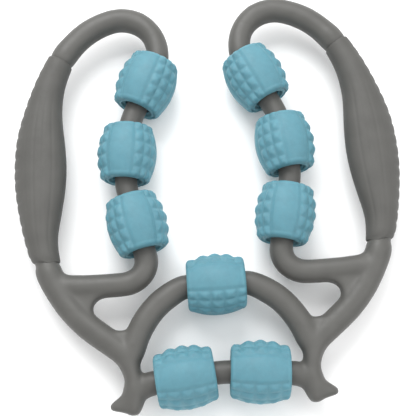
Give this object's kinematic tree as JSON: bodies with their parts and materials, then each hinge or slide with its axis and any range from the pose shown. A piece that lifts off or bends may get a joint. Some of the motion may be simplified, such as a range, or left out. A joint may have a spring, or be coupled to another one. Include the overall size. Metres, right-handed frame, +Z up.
{
  "type": "foot massage roller",
  "caption": "Planar clamp-shaped leg and foot massager: looped side handles with soft grips, ribbed barrel rollers on inner arms, an arch and a base bar.",
  "frame": {"origin": "middle of the footprint, on the surface the massager lies on", "axes": "+X to its right, +Y from the feet to the hooks, +Z up from the surface through the flat assembly"},
  "size_m": [0.2632, 0.2838, 0.0416],
  "materials": {
    "frame_plastic": "satin",
    "grip_rubber": "matte, finely notched",
    "tread_elastomer": "satin, ribbed with pyramid bumps",
    "core_plastic": "moulded",
    "axle_plastic": "smooth"
  },
  "bodies": {
    "frame": {"right_side_frame": "frame_plastic", "left_side_frame": "frame_plastic", "right_grip_sleeve": "grip_rubber", "left_grip_sleeve": "grip_rubber", "right_upper_link": "frame_plastic", "right_lower_link": "frame_plastic", "left_upper_link": "frame_plastic", "left_lower_link": "frame_plastic", "base_link": "frame_plastic", "right_top_axle": "axle_plastic", "right_middle_axle": "axle_plastic", "right_bottom_axle": "axle_plastic", "left_top_axle": "axle_plastic", "left_middle_axle": "axle_plastic", "left_bottom_axle": "axle_plastic", "arch_axle": "axle_plastic", "right_base_axle": "axle_plastic", "left_base_axle": "axle_plastic"},
    "right_top_roller": {"right_top_core": "core_plastic", "right_top_tread": "tread_elastomer"},
    "right_middle_roller": {"right_middle_core": "core_plastic", "right_middle_tread": "tread_elastomer"},
    "right_bottom_roller": {"right_bottom_core": "core_plastic", "right_bottom_tread": "tread_elastomer"},
    "left_top_roller": {"left_top_core": "core_plastic", "left_top_tread": "tread_elastomer"},
    "left_middle_roller": {"left_middle_core": "core_plastic", "left_middle_tread": "tread_elastomer"},
    "left_bottom_roller": {"left_bottom_core": "core_plastic", "left_bottom_tread": "tread_elastomer"},
    "arch_roller": {"arch_core": "core_plastic", "arch_tread": "tread_elastomer"},
    "right_base_roller": {"right_base_core": "core_plastic", "right_base_tread": "tread_elastomer"},
    "left_base_roller": {"left_base_core": "core_plastic", "left_base_tread": "tread_elastomer"}
  },
  "joints": [
    {"name": "right_top_roller_spin", "type": "hinge", "parent": "frame", "child": "right_top_roller", "pos_m": [0.0382, 0.0826, 0.0208], "axis": [-0.4226, 0.9063, 0], "continuous": true},
    {"name": "right_middle_roller_spin", "type": "hinge", "parent": "frame", "child": "right_middle_roller", "pos_m": [0.054, 0.0324, 0.0208], "axis": [-0.1132, 0.9936, 0], "continuous": true},
    {"name": "right_bottom_roller_spin", "type": "hinge", "parent": "frame", "child": "right_bottom_roller", "pos_m": [0.05, -0.0174, 0.0208], "axis": [0.2079, 0.9781, 0], "continuous": true},
    {"name": "left_top_roller_spin", "type": "hinge", "parent": "frame", "child": "left_top_roller", "pos_m": [-0.0382, 0.0826, 0.0208], "axis": [0.4226, 0.9063, 0], "continuous": true},
    {"name": "left_middle_roller_spin", "type": "hinge", "parent": "frame", "child": "left_middle_roller", "pos_m": [-0.054, 0.0324, 0.0208], "axis": [0.1132, 0.9936, 0], "continuous": true},
    {"name": "left_bottom_roller_spin", "type": "hinge", "parent": "frame", "child": "left_bottom_roller", "pos_m": [-0.05, -0.0174, 0.0208], "axis": [-0.2079, 0.9781, 0], "continuous": true},
    {"name": "arch_roller_spin", "type": "hinge", "parent": "frame", "child": "arch_roller", "pos_m": [0, -0.062, 0.0208], "axis": [-1, 0, 0], "continuous": true},
    {"name": "right_base_roller_spin", "type": "hinge", "parent": "frame", "child": "right_base_roller", "pos_m": [0.024, -0.1209, 0.0208], "axis": [-0.9962, 0.0872, 0], "continuous": true},
    {"name": "left_base_roller_spin", "type": "hinge", "parent": "frame", "child": "left_base_roller", "pos_m": [-0.024, -0.1209, 0.0208], "axis": [0.9962, 0.0872, 0], "continuous": true}
  ]
}
